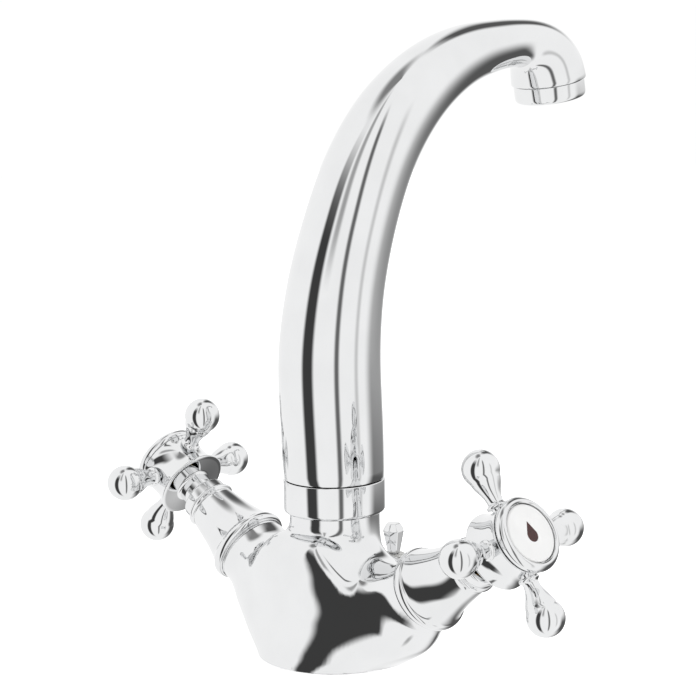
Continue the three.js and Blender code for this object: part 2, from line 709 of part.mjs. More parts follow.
function sleeve() {
  const s = SLEEVE_START;
  const e = SLEEVE_END;
  const rim = SLEEVE_RIM_RADIUS;
  const end = SLEEVE_END_RADIUS;
  const wall = SLEEVE_WALL;
  return turned([
    [rim - 2.2, s],
    [rim - 0.9, s + 0.5],
    [rim - 0.9, s + 1.2],
    [rim - 1.4, s + 1.5],
    [rim - 0.1, s + 2.4],
    [rim, s + 3.4],
    [rim - 0.6, s + 4.9],
    [rim - 1.9, s + 7.4],
    [rim - 3.2, s + 12],
    [end + 1.2, e - 10.5],
    [end + 0.5, e - 6.4],
    [end + 0.1, e - 6],
    [end + 1.15, e - 5],
    [end, e - 3.8],
    [end, e - 0.4],
    [end - 0.4, e],
    [end - wall, e],
    [end - wall, e - 6],
    [rim - 3.2 - wall, s + 12],
    [rim - 1.9 - wall, s + 7.4],
    [rim - 1.2 - wall, s + 4],
    [rim - 2.2 - 0.8, s],
    [rim - 2.2, s],
  ], ROUND_SLEEVE);
}

function cartridgeBody() {
  const bore = SPINDLE_RADIUS + RUN_GAP;
  const chamber = DISC_RADIUS + TOUCH_GAP;
  const start = FIXED_AT - 1;
  const thread = VALVE_BORE_RADIUS - TOUCH_GAP;
  const barrel = turned([
    [chamber, start],
    [CARTRIDGE_RADIUS, start],
    [CARTRIDGE_RADIUS, ARM_END - THREAD_LENGTH],
    [thread, ARM_END - THREAD_LENGTH],
    [thread, HEX_AT + 0.5],
    [CARTRIDGE_NOSE_RADIUS, HEX_AT + 0.5],
    [CARTRIDGE_NOSE_RADIUS, NOSE_TOP],
    [bore, NOSE_TOP],
    [bore, CHAMBER_TOP],
    [chamber, CHAMBER_TOP],
    [chamber, start],
  ], ROUND_SMALL);
  const core = rod(bore + 1, HEX_AT - 1, 20, ROUND_TINY);
  const flats = cut(prism(CARTRIDGE_HEX_ACROSS, 6, HEX_AT, HEX_HEIGHT), core);
  const window = new THREE.BoxGeometry(6, 3 * CARTRIDGE_RADIUS, 3).translate(0, 0, MOVING_AT + 1);
  return cut(join(barrel, flats), window);
}

function seatSeal() {
  return ring(INLET_RADIUS, DISC_RADIUS - 0.4, SEAL_AT, SEAL_HEIGHT, ROUND_SMALL);
}

function ceramicDisc(z, turn) {
  const ports = [-1, 1].map((way) => rod(1.9, z - 1, DISC_HEIGHT + 2, 10).translate(way * 3.7, 0, 0));
  return cut(rod(DISC_RADIUS, z, DISC_HEIGHT, ROUND_SMALL), ...ports).rotateZ(turn);
}

function spindle() {
  const r = SPINDLE_RADIUS;
  const glandFloor = r - SPINDLE_GROOVE;
  const clipFloor = r - SPINDLE_GROOVE;
  const clipTop = SPINDLE_CLIP_AT + SPINDLE_CLIP_WIDTH + TOUCH_GAP;
  const shaft = turned([
    [0, SPINDLE_AT],
    [SPINDLE_FOOT_RADIUS, SPINDLE_AT],
    [SPINDLE_FOOT_RADIUS, SPINDLE_AT + SPINDLE_FOOT],
    [r, SPINDLE_AT + SPINDLE_FOOT],
    [r, GLAND_AT],
    [glandFloor, GLAND_AT],
    [glandFloor, GLAND_AT + 2.2],
    [r, GLAND_AT + 2.2],
    [r, SPINDLE_CLIP_AT - TOUCH_GAP],
    [clipFloor, SPINDLE_CLIP_AT - TOUCH_GAP],
    [clipFloor, clipTop],
    [r, clipTop],
    [r, clipTop + 3],
    [SPINDLE_SPLINE_RADIUS, clipTop + 3.6],
    [SPINDLE_SPLINE_RADIUS, SPINDLE_TIP],
    [0, SPINDLE_TIP],
  ], ROUND_TINY);
  return cut(shaft, rod(SCREW_RADIUS + TOUCH_GAP, SPINDLE_TIP - SCREW_LENGTH - 1, SCREW_LENGTH + 3, 10));
}

function spindleORing() {
  return roundRing(SPINDLE_RADIUS - 0.35, 0.5, GLAND_AT + 1.1, ROUND_TINY, 6);
}

function spindleClip() {
  const inner = SPINDLE_RADIUS - SPINDLE_GROOVE + TOUCH_GAP;
  return clipRing(inner, SPINDLE_RADIUS + 1.8, SPINDLE_CLIP_AT, SPINDLE_CLIP_WIDTH, rad(70));
}

// ================================================================ handle

function hub() {
  const bore = SPINDLE_SPLINE_RADIUS + TOUCH_GAP;
  const recess = SCREW_HEAD_RADIUS + TOUCH_GAP;
  const spool = turned([
    [bore, HUB_START],
    [SKIRT_RADIUS, HUB_START],
    [SKIRT_RADIUS, FLANGE_AT - 3.2],
    [SKIRT_RADIUS + 1.2, FLANGE_AT - 1.6],
    [SKIRT_RADIUS + 4, FLANGE_AT - 0.8],
    [FLANGE_RADIUS, FLANGE_AT - FLANGE_EDGE / 2],
    [FLANGE_RADIUS, FLANGE_AT + FLANGE_EDGE / 2],
    [HUB_RADIUS + 0.7, FLANGE_AT + 2],
    [HUB_RADIUS, FLANGE_AT + 4.5],
    [HUB_RADIUS, SPOKE_PLANE + 1.5],
    [HUB_RADIUS + 0.4, SPOKE_PLANE + 4],
    [HUB_RADIUS + 1.1, HUB_FACE],
    [recess, HUB_FACE],
    [recess, SCREW_SEAT],
    [bore, SCREW_SEAT],
    [bore, HUB_START],
  ], ROUND_SLEEVE);
  const sockets = [];
  for (let i = 0; i < SPOKE_COUNT; i += 1) {
    const start = HUB_RADIUS - SPOKE_SHANK_DEPTH - TOUCH_GAP;
    const socket = rod(SPOKE_SHANK_RADIUS + TOUCH_GAP, start, 10, 12);
    sockets.push(onSpoke(i, socket));
  }
  return cut(spool, ...sockets);
}

// Local +Z of a spoke runs outwards from the handle's axis. The first spoke points along -Y.
function onSpoke(i, geometry) {
  const turn = (2 * Math.PI * i) / SPOKE_COUNT;
  return geometry.rotateX(Math.PI / 2).rotateZ(turn).translate(0, 0, SPOKE_PLANE);
}

// Screwed-in spoke: shank, ring collar, slender neck and ball, turned in one piece.
function spoke() {
  const foot = HUB_RADIUS + 2 * TOUCH_GAP;
  const ball = [];
  for (const angle of [-36, -8, 20, 48, 74]) {
    const height = BALL_CIRCLE_RADIUS + BALL_RADIUS * Math.sin(rad(angle));
    ball.push([BALL_RADIUS * Math.cos(rad(angle)), height]);
  }
  return turned([
    [0, HUB_RADIUS - SPOKE_SHANK_DEPTH],
    [SPOKE_SHANK_RADIUS, HUB_RADIUS - SPOKE_SHANK_DEPTH],
    [SPOKE_SHANK_RADIUS, foot],
    [3.3, foot],
    [3.6, foot + 0.7],
    [3.3, foot + 1.5],
    [2.7, foot + 2.6],
    [3.2, foot + 4.6],
    [4.3, foot + 7.1],
    ...ball,
    [0, BALL_CIRCLE_RADIUS + BALL_RADIUS],
  ], ROUND_TINY);
}

function handleScrew() {
  const head = rod(SCREW_HEAD_RADIUS, SCREW_SEAT + TOUCH_GAP, SCREW_HEAD_HEIGHT, ROUND_TINY);
  const shank = rod(SCREW_RADIUS, SPINDLE_TIP - SCREW_LENGTH, SCREW_LENGTH + 2, 10);
  const key = prism(3, 6, SCREW_SEAT + TOUCH_GAP + 1.2, 6);
  return cut(join(head, shank), key);
}

function capRing() {
  const seat = INDEX_RADIUS + TOUCH_GAP;
  return turned([
    [5, CAP_BACK],
    [CAP_RADIUS - 0.5, CAP_BACK],
    [CAP_RADIUS, CAP_BACK + 1.2],
    [CAP_RADIUS, CAP_FACE - 1.8],
    [CAP_RADIUS - 0.6, CAP_FACE - 0.7],
    [CAP_RADIUS - 1.6, CAP_FACE],
    [seat, CAP_FACE - 0.6],
    [seat, CAP_BACK + 1],
    [5, CAP_BACK + 1],
    [5, CAP_BACK],
  ], ROUND_SLEEVE);
}

// Water drop outline, point towards local +X.
function dropShape(radius) {
  const shape = new THREE.Shape();
  const tip = 2.1 * radius;
  shape.absarc(0, 0, radius, rad(62), rad(298), false);
  shape.lineTo(tip, 0);
  return shape;
}

function drop(radius, z, height) {
  const options = { depth: height, bevelEnabled: false, curveSegments: 8 };
  return new THREE.ExtrudeGeometry(dropShape(radius), options).translate(-0.4 * radius, 0, z);
}

function indexDisc() {
  const top = INDEX_AT + INDEX_HEIGHT;
  const disc = turned([
    [0, INDEX_AT],
    [INDEX_RADIUS, INDEX_AT],
    [INDEX_RADIUS, top - 0.5],
    [INDEX_RADIUS - 0.5, top],
    [0, top],
  ], ROUND_SLEEVE);
  return cut(disc, drop(MARK_RADIUS + TOUCH_GAP, top - MARK_DEPTH - TOUCH_GAP, 3));
}

function indexMark() {
  return drop(MARK_RADIUS, INDEX_AT + INDEX_HEIGHT - MARK_DEPTH, MARK_DEPTH);
}

// ================================================================ pop-up lift rod

function liftKnob() {
  const grip = turned([
    [0, KNOB_BASE_Z],
    [KNOB_FOOT_RADIUS, KNOB_BASE_Z],
    [KNOB_WIDEST_RADIUS, KNOB_WIDEST_Z],
    [KNOB_TOP_RADIUS, KNOB_TOP_Z],
    [0, KNOB_TOP_Z],
  ], KNOB_SIDES).rotateZ(rad(KNOB_TURN));
  const socket = rod(ROD_RADIUS + TOUCH_GAP, KNOB_BASE_Z - 1, ROD_INTO_KNOB + TOUCH_GAP + 1, ROUND_TINY);
  return cut(grip, socket).translate(0, ROD_Y, 0);
}

function liftRod() {
  const top = KNOB_BASE_Z + ROD_INTO_KNOB;
  return rod(ROD_RADIUS, ROD_BOTTOM_Z, top - ROD_BOTTOM_Z, ROUND_TINY).translate(0, ROD_Y, 0);
}

function rodBush() {
  const inner = ROD_RADIUS + RUN_GAP;
  const seat = BUSH_TOP_Z + TOUCH_GAP;
  return turned([
    [inner, BUSH_TOP_Z - BUSH_LENGTH],
    [BUSH_RADIUS, BUSH_TOP_Z - BUSH_LENGTH],
    [BUSH_RADIUS, seat],
    [BUSH_FLANGE_RADIUS, seat],
    [BUSH_FLANGE_RADIUS, seat + BUSH_FLANGE_HEIGHT - TOUCH_GAP],
    [inner, seat + BUSH_FLANGE_HEIGHT - TOUCH_GAP],
    [inner, BUSH_TOP_Z - BUSH_LENGTH],
  ], ROUND_TINY).translate(0, ROD_Y, 0);
}

// ================================================================ materials

const finish = (color, roughness, metalness) => (
  () => new THREE.MeshStandardMaterial({ color, roughness, metalness })
);
const chrome = finish(0xe6e8ea, 0.06, 1);
const brass = finish(0xb8954a, 0.35, 1);
const rubber = finish(0x1b1b1d, 0.8, 0);
const ceramic = finish(0xe8e4dc, 0.3, 0);
const porcelain = finish(0xf4f3f0, 0.15, 0);
const plastic = finish(0xd9d9d6, 0.45, 0);
const steel = finish(0x9a9ea3, 0.3, 1);
const hotInk = finish(0x3a0d0d, 0.4, 0);
const coldInk = finish(0x0d1b3a, 0.4, 0);

// ================================================================ assembly

const mixer = new THREE.Group();

function place(name, geometry, material, parent = mixer) {
  const mesh = new THREE.Mesh(closed(geometry), material());
  mesh.name = name;
  parent.add(mesh);
}

function armGroup(side) {
  const group = new THREE.Group();
  group.position.z = ARM_ORIGIN_Z;
  group.rotation.y = side * rad(90 - ARM_PITCH);
  mixer.add(group);
  return group;
}

function placeValve(name, side, ink) {
  const arm = armGroup(side);
  const put = (piece, geometry, material) => place(`${name}_${piece}`, geometry, material, arm);
  put('valve_sleeve', sleeve(), chrome);
  put('cartridge_body', cartridgeBody(), brass);
  put('seat_seal', seatSeal(), rubber);
  put('fixed_disc', ceramicDisc(FIXED_AT, 0), ceramic);
  put('moving_disc', ceramicDisc(MOVING_AT, Math.PI / 2), ceramic);
  put('spindle', spindle(), brass);
  put('spindle_o_ring', spindleORing(), rubber);
  put('spindle_clip', spindleClip(), steel);
  put('handle_hub', hub(), chrome);
  for (let i = 0; i < SPOKE_COUNT; i += 1) {
    put(`spoke_${i + 1}`, onSpoke(i, spoke()), chrome);
  }
  put('handle_screw', handleScrew(), steel);
  put('cap_ring', capRing(), chrome);
  put('index_disc', indexDisc(), porcelain);
  put('index_mark', indexMark(), ink);
}

place('body_casting', bodyCasting(), chrome);
place('base_gasket', baseGasket(), rubber);
place('collar_nut', collarNut(), chrome);
place('slip_ring', slipRing(), plastic);
place('spout', spout(), chrome);
place('spout_nipple', spoutNipple(), brass);
place('upper_o_ring', swivelORing(ORING_DEPTHS[0]), rubber);
place('lower_o_ring', swivelORing(ORING_DEPTHS[1]), rubber);
place('retaining_clip', retainingClip(), steel);
place('aerator_housing', aeratorHousing(), chrome);
place('aerator_washer', aeratorWasher(), rubber);
place('aerator_insert', aeratorInsert(), plastic);
place('aerator_screen', aeratorScreen(), steel);
placeValve('hot', -1, hotInk);
placeValve('cold', 1, coldInk);
place('lift_knob', liftKnob(), chrome);
place('lift_rod', liftRod(), steel);
place('rod_bush', rodBush(), plastic);

export default mixer;
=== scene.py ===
import json
import math

import bmesh
import bpy
import numpy as np
from mathutils import Matrix, Vector


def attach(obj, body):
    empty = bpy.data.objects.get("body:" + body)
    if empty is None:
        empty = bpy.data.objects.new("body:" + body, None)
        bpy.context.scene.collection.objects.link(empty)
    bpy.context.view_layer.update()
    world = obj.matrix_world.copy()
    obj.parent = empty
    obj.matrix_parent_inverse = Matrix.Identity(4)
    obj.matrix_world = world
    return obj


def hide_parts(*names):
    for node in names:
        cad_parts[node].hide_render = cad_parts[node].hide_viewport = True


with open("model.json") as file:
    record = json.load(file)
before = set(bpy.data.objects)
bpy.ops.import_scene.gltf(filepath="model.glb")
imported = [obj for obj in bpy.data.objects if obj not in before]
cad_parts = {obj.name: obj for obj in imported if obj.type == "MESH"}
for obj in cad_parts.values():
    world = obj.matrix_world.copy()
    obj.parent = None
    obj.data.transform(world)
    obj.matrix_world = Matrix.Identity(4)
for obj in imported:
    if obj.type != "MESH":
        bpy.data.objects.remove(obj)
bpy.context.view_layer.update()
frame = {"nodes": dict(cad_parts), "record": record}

MM = 0.001
ARM_PITCH = math.radians(31.2)
ARM_ORIGIN_Z = 3.9


# ------------------------------------------------------------------ node helpers
def new_material(name):
    material = bpy.data.materials.new(name)
    material.use_nodes = True
    tree = material.node_tree
    shader = tree.nodes["Principled BSDF"]
    return material, tree, shader


def noise(tree, scale, detail=3.0, stretch=None):
    coords = tree.nodes.new("ShaderNodeTexCoord")
    texture = tree.nodes.new("ShaderNodeTexNoise")
    texture.inputs["Scale"].default_value = scale
    texture.inputs["Detail"].default_value = detail
    source = coords.outputs["Object"]
    if stretch:
        mapping = tree.nodes.new("ShaderNodeMapping")
        mapping.inputs["Scale"].default_value = stretch
        tree.links.new(source, mapping.inputs["Vector"])
        source = mapping.outputs["Vector"]
    tree.links.new(source, texture.inputs["Vector"])
    return texture.outputs["Fac"]


def ramp(tree, factor, low, high, start=0.35, end=0.65):
    node = tree.nodes.new("ShaderNodeValToRGB")
    node.color_ramp.elements[0].position = start
    node.color_ramp.elements[0].color = (*low, 1)
    node.color_ramp.elements[1].position = end
    node.color_ramp.elements[1].color = (*high, 1)
    tree.links.new(factor, node.inputs["Fac"])
    return node.outputs["Color"]


def spread(tree, factor, low, high):
    node = tree.nodes.new("ShaderNodeMapRange")
    node.inputs["To Min"].default_value = low
    node.inputs["To Max"].default_value = high
    tree.links.new(factor, node.inputs["Value"])
    return node.outputs["Result"]


def bump(tree, shader, height, strength, distance):
    node = tree.nodes.new("ShaderNodeBump")
    node.inputs["Strength"].default_value = strength
    node.inputs["Distance"].default_value = distance
    tree.links.new(height, node.inputs["Height"])
    tree.links.new(node.outputs["Normal"], shader.inputs["Normal"])


# Plated brass: a clear mirror with faint cloudiness where it has been wiped.
def chrome_material(name, tint=(0.83, 0.835, 0.84), smooth=0.015, cloud=0.05):
    material, tree, shader = new_material(name)
    shader.inputs["Metallic"].default_value = 1
    low = tuple(c * 0.965 for c in tint)
    tree.links.new(ramp(tree, noise(tree, 60, 4), low, tint), shader.inputs["Base Color"])
    rough = spread(tree, noise(tree, 180, 5), smooth, cloud)
    tree.links.new(rough, shader.inputs["Roughness"])
    return material


def plain_material(name, low, high, roughness, metallic=0.0, scale=400, depth=0.00004, coat=0.0):
    material, tree, shader = new_material(name)
    shader.inputs["Metallic"].default_value = metallic
    shader.inputs["Coat Weight"].default_value = coat
    shader.inputs["Coat Roughness"].default_value = 0.03
    grain = noise(tree, scale, 4)
    tree.links.new(ramp(tree, grain, low, high), shader.inputs["Base Color"])
    rough = spread(tree, noise(tree, scale * 0.6, 3), roughness * 0.8, roughness * 1.2)
    tree.links.new(rough, shader.inputs["Roughness"])
    bump(tree, shader, grain, 0.15, depth)
    return material


CHROME = chrome_material("chrome_plate")
PORCELAIN = plain_material(
    "index_porcelain", (0.86, 0.86, 0.855), (0.9, 0.9, 0.895), 0.12, scale=90, depth=0.00002, coat=0.6)
HOT_INK = plain_material("hot_enamel", (0.035, 0.006, 0.005), (0.06, 0.01, 0.008), 0.25)
COLD_INK = plain_material("cold_enamel", (0.004, 0.008, 0.035), (0.008, 0.014, 0.06), 0.25)
RUBBER = plain_material("black_rubber", (0.012, 0.012, 0.013), (0.025, 0.025, 0.027), 0.6)
BRASS = plain_material("machined_brass", (0.6, 0.43, 0.16), (0.7, 0.52, 0.22), 0.25, metallic=1)
STEEL = plain_material("bright_steel", (0.5, 0.51, 0.53), (0.6, 0.61, 0.63), 0.22, metallic=1)
PLASTIC = plain_material("pale_plastic", (0.6, 0.6, 0.58), (0.68, 0.68, 0.66), 0.4)
CERAMIC = plain_material("disc_ceramic", (0.74, 0.7, 0.64), (0.8, 0.76, 0.7), 0.3)

SLOT_MATERIALS = {
    "chrome": CHROME, "porcelain": PORCELAIN, "hot_ink": HOT_INK, "cold_ink": COLD_INK,
    "rubber": RUBBER, "brass": BRASS, "stainless": STEEL, "plastic": PLASTIC, "disc_ceramic": CERAMIC,
}


# ------------------------------------------------------------------ mesh helpers
def piece(name, points, faces, body, nodes, slot, crease=32):
    """A smooth shaded mesh in millimetres, standing for CAD nodes and riding on their body."""
    mesh = bpy.data.meshes.new(name)
    mesh.from_pydata((np.asarray(points, float) * MM).tolist(), [], faces)
    mesh.validate()
    mesh.materials.append(SLOT_MATERIALS[slot])
    mesh.shade_smooth()
    mesh.set_sharp_from_angle(angle=math.radians(crease))
    obj = bpy.data.objects.new(name, mesh)
    bpy.context.scene.collection.objects.link(obj)
    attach(obj, body)
    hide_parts(*nodes)
    return obj


def tube_faces(rings, sides, close_rings=False):
    faces = []
    last = rings if close_rings else rings - 1
    for k in range(last):
        low, high = k * sides, ((k + 1) % rings) * sides
        for i in range(sides):
            j = (i + 1) % sides
            faces.append((low + i, low + j, high + j, high + i))
    return faces


def eased(corners, steps=5):
    """Profile corners (radius, height, easing) with each corner turned into a small curve."""
    points = []
    closed = corners[0][:2] == corners[-1][:2]
    loop = corners[:-1] if closed else corners
    count = len(loop)
    for i, (r, h, ease) in enumerate(loop):
        here = np.array([r, h], float)
        inner = closed or 0 < i < count - 1
        if not ease or not inner:
            points.append(here)
            continue
        before = np.array(loop[i - 1][:2], float) - here
        after = np.array(loop[(i + 1) % count][:2], float) - here
        reach_a = min(ease, 0.48 * np.linalg.norm(before)) / np.linalg.norm(before)
        reach_b = min(ease, 0.48 * np.linalg.norm(after)) / np.linalg.norm(after)
        for k in range(steps + 1):
            t = k / steps
            a, b = here + before * reach_a, here + after * reach_b
            points.append((1 - t) ** 2 * a + 2 * t * (1 - t) * here + t * t * b)
    if closed:
        points.append(points[0])
    return np.array(points)


def turned(corners, sides=96, steps=5):
    """Points and faces of a turned shape. A corner on the axis closes the shape there."""
    profile = eased(corners, steps)
    closed = np.allclose(profile[0], profile[-1])
    if closed:
        profile = profile[:-1]
    angles = np.arange(sides) * 2 * math.pi / sides
    points, rings = [], []
    for r, h in profile:
        if r < 1e-6:
            rings.append([len(points)])
            points.append((0, 0, h))
            continue
        start = len(points)
        points += [(r * math.cos(a), r * math.sin(a), h) for a in angles]
        rings.append(list(range(start, start + sides)))
    faces = []
    pairs = list(zip(rings, rings[1:] + ([rings[0]] if closed else [])))
    if not closed:
        pairs = pairs[: len(rings) - 1]
    for low, high in pairs:
        for i in range(sides):
            j = (i + 1) % sides
            if len(low) == 1 and len(high) == 1:
                continue
            if len(low) == 1:
                faces.append((low[0], high[j], high[i]))
            elif len(high) == 1:
                faces.append((low[i], low[j], high[0]))
            else:
                faces.append((low[i], low[j], high[j], high[i]))
    return np.array(points, float), faces


def moved(points, matrix):
    points = np.asarray(points, float)
    m = np.array(matrix)
    return points @ m[:3, :3].T + m[:3, 3]


def arm_frame(side):
    turn = Matrix.Rotation(side * (math.pi / 2 - ARM_PITCH), 4, "Y")
    return Matrix.Translation((0, 0, ARM_ORIGIN_Z)) @ turn


def spline(knots, values, at):
    """Natural cubic spline through values at knots."""
    knots, values = np.asarray(knots, float), np.asarray(values, float)
    n = len(knots)
    h = np.diff(knots)
    system = np.eye(n)
    right = np.zeros((n,) + values.shape[1:])
    for i in range(1, n - 1):
        system[i, i - 1:i + 2] = h[i - 1], 2 * (h[i - 1] + h[i]), h[i]
        right[i] = 6 * ((values[i + 1] - values[i]) / h[i] - (values[i] - values[i - 1]) / h[i - 1])
    second = np.linalg.solve(system, right)
    k = np.clip(np.searchsorted(knots, at) - 1, 0, n - 2)
    a = ((knots[k + 1] - at) / h[k])[:, None]
    b = ((at - knots[k]) / h[k])[:, None]
    step = (h[k] ** 2)[:, None] / 6
    curved = ((a ** 3 - a) * second[k] + (b ** 3 - b) * second[k + 1]) * step
    return a * values[k] + b * values[k + 1] + curved


# ------------------------------------------------------------------ body casting
FOOT_RADIUS = 28.5
FOOT_Z = 0.6  # the gasket holds the metal this far off the deck
FOOT_BAND_TOP = 1.8
RIM_REACH = 0.55  # points this near the foot's edge are drawn onto it
RIM_RISE = 0.4
RECESS_RADIUS = 20
RECESS_TOP = 6
GROOVE_MIDDLE = 25
GROOVE_HALF_WIDTH = 2.3
GROOVE_TOP = 2.5
PORT_X = 12
PORT_RADIUS = 4.6
PORT_TOP = 12
NECK_RADIUS = 16
NECK_ROOT = 20
NECK_TOP = 51.7
ARM_RADIUS = 14.1
ARM_WAIST = 1.7
ARM_WAIST_AT = (37, 47)
ARM_INNER = 22
ARM_END = 50
ARM_NECK_BLEND = 18
ARM_BELLY_BLEND = 9
SEAM_BLEND = 3
ROD_Y = -30
ROD_BOSS_RADIUS = 5.6
ROD_BOSS_TOP = 29
ROD_BOSS_BLEND = 5
ROD_HOLE_RADIUS = 2.5
ROD_HOLE_TOP = 20
BUSH_SEAT_RADIUS = 3.3
BUSH_SEAT_START = 19.7
SADDLE_Z = 31.8
SHOULDER_RISE = 14.2
SHOULDER_FALL_X = (8, 31)
SHOULDER_FALL_Y = (2, 16)
SHOULDER_ROUNDING = 5
SHOULDER_SCALE = 0.8
GRID = 0.75


def blend(a, b, width):
    h = np.maximum(width - np.abs(a - b), 0) / width
    return np.minimum(a, b) - h * h * width * 0.25


def carve(a, b, width):
    return -blend(-a, -b, width)


# Plan of the belly by height: (height, half length towards the arms, half width).
BELLY = [
    (-4, 27, 27), (0.6, 28.5, 28.5), (3, 33, 28.3), (5.8, 38.5, 28), (10, 44, 27), (14, 46.6, 25.7),
    (18, 47, 24.7), (23, 47, 24.8), (28, 46.2, 25.2), (33, 44, 25.2), (38, 41.5, 25.2), (42.6, 36, 24.6),
    (46.5, 30, 23.5), (52, 20, 17)]
KEEL_EDGE = 2.2


def smooth_step(value, start, end):
    t = np.clip((value - start) / (end - start), 0, 1)
    return t * t * (3 - 2 * t)


def belly_distance(x, y, z):
    """Below zero inside the belly: two long arcs in plan that meet in a keel towards each arm."""
    heights, length, width = np.array(BELLY, float).T
    flat = np.clip(np.ravel(z), heights[0], heights[-1])
    both = spline(heights, np.stack([length, width], 1), flat)
    length, width = (both[:, q].reshape(np.shape(z)) for q in (0, 1))
    arc = (length ** 2 + width ** 2) / (2 * width)
    return (np.hypot(x, np.hypot(y, KEEL_EDGE) + arc - width) - arc) * 0.9


def hole(x, y, z, centre_x, centre_y, radius, top):
    """Below zero inside a round hole from the underside up to top."""
    return np.maximum(np.hypot(x - centre_x, y - centre_y) - radius, z - top)


def skin_distance(x, y, z):
    """Below zero inside the casting: belly with its shoulder, arms, neck and rod boss."""
    ax = np.abs(x)
    towards_arm = 1 - smooth_step(ax, *SHOULDER_FALL_X)
    away_from_rod = 1 - smooth_step(-y, *SHOULDER_FALL_Y)
    shoulder = SADDLE_Z + SHOULDER_RISE * towards_arm * away_from_rod
    carved = carve(belly_distance(x, y, z), (z - shoulder) * SHOULDER_SCALE, SHOULDER_ROUNDING)
    along = ax * math.cos(ARM_PITCH) + (z - ARM_ORIGIN_Z) * math.sin(ARM_PITCH)
    above = (z - ARM_ORIGIN_Z) * math.cos(ARM_PITCH) - ax * math.sin(ARM_PITCH)
    waist = ARM_RADIUS - ARM_WAIST * smooth_step(along, *ARM_WAIST_AT)
    arm = np.maximum(np.hypot(y, above) - waist, ARM_INNER - along)
    neck = np.maximum(np.hypot(x, y) - NECK_RADIUS, NECK_ROOT - z)
    whole = blend(blend(arm, neck, ARM_NECK_BLEND), blend(arm, carved, ARM_BELLY_BLEND), SEAM_BLEND)
    boss = np.maximum(np.hypot(x, y - ROD_Y) - ROD_BOSS_RADIUS, z - ROD_BOSS_TOP)
    whole = blend(whole, boss, ROD_BOSS_BLEND)
    band = np.maximum(np.hypot(x, y) - FOOT_RADIUS, z - FOOT_BAND_TOP)
    return np.minimum(whole, band)


def body_distance(x, y, z):
    whole = skin_distance(x, y, z)
    whole = np.maximum(whole, FOOT_Z - z)
    whole = np.maximum(whole, -hole(x, y, z, 0, 0, RECESS_RADIUS, RECESS_TOP))
    groove = np.maximum(np.abs(np.hypot(x, y) - GROOVE_MIDDLE) - GROOVE_HALF_WIDTH, z - GROOVE_TOP)
    whole = np.maximum(whole, -groove)
    for port in (PORT_X, -PORT_X):
        whole = np.maximum(whole, -hole(x, y, z, port, 0, PORT_RADIUS, PORT_TOP))
    whole = np.maximum(whole, -hole(x, y, z, 0, ROD_Y, ROD_HOLE_RADIUS, ROD_HOLE_TOP))
    bush_seat = np.maximum(np.hypot(x, y - ROD_Y) - BUSH_SEAT_RADIUS, BUSH_SEAT_START - z)
    return np.maximum(whole, -bush_seat)


def surface_net(distance, low, high, step):
    """Quads over the zero surface of a distance, one point in each crossed cell."""
    axes = [np.arange(a, b + step, step) for a, b in zip(low, high)]
    grid = np.meshgrid(*axes, indexing="ij")
    d = distance(*grid)
    inside = d < 0
    n = tuple(s - 1 for s in d.shape)

    def at(values, i, j, k):
        return values[i:i + n[0], j:j + n[1], k:k + n[2]]

    total = np.zeros(n + (3,))
    hits = np.zeros(n)
    corners = [(i, j, k) for i in (0, 1) for j in (0, 1) for k in (0, 1)]
    for a in corners:
        for axis in range(3):
            if a[axis]:
                continue
            b = tuple(1 if q == axis else a[q] for q in range(3))
            da, db = at(d, *a), at(d, *b)
            crossed = (da < 0) != (db < 0)
            t = np.where(crossed, da / np.where(crossed, da - db, 1), 0)
            for q in range(3):
                offset = a[q] + (t if q == axis else 0)
                total[..., q] += np.where(crossed, offset, 0)
            hits += crossed
    active = hits > 0
    index = -np.ones(n, int)
    index[active] = np.arange(active.sum())
    cells = np.argwhere(active)
    points = np.array(low) + (cells + total[active] / hits[active][:, None]) * step
    faces = []
    for axis in range(3):
        u, v = [q for q in range(3) if q != axis]
        first = [slice(None)] * 3
        second = [slice(None)] * 3
        first[axis] = slice(0, -1)
        second[axis] = slice(1, None)
        start, end = inside[tuple(first)], inside[tuple(second)]
        edges = np.argwhere(start != end)
        edges = edges[(edges[:, u] > 0) & (edges[:, v] > 0)]
        edges = edges[(edges[:, u] < n[u]) & (edges[:, v] < n[v])]
        quad = []
        for du, dv in ((-1, -1), (0, -1), (0, 0), (-1, 0)):
            cell = edges.copy()
            cell[:, u] += du
            cell[:, v] += dv
            quad.append(index[tuple(cell.T)])
        quad = np.stack(quad, 1)
        flip = start[tuple(edges.T)] == (axis == 1)
        quad[flip] = quad[flip][:, ::-1]
        faces += quad.tolist()
    return points, faces


def slope(distance, p, h=0.02):
    rows = []
    for q in range(3):
        step = np.zeros(3)
        step[q] = h
        rows.append((distance(*(p + step).T) - distance(*(p - step).T)) / (2 * h))
    return np.stack(rows, 1)


def sliced(points, faces, planes):
    """The mesh cut off flat beyond each plane (point, outward normal) and capped there."""
    work = bmesh.new()
    verts = [work.verts.new(p) for p in points]
    for face in faces:
        work.faces.new([verts[i] for i in face])
    for at, normal in planes:
        everything = work.verts[:] + work.edges[:] + work.faces[:]
        cut = bmesh.ops.bisect_plane(work, geom=everything, plane_co=at, plane_no=normal, clear_outer=True)
        rim = [e for e in cut["geom_cut"] if isinstance(e, bmesh.types.BMEdge)]
        bmesh.ops.holes_fill(work, edges=rim, sides=0)
    work.verts.index_update()
    result = [v.co[:] for v in work.verts], [tuple(v.index for v in f.verts) for f in work.faces]
    work.free()
    return result


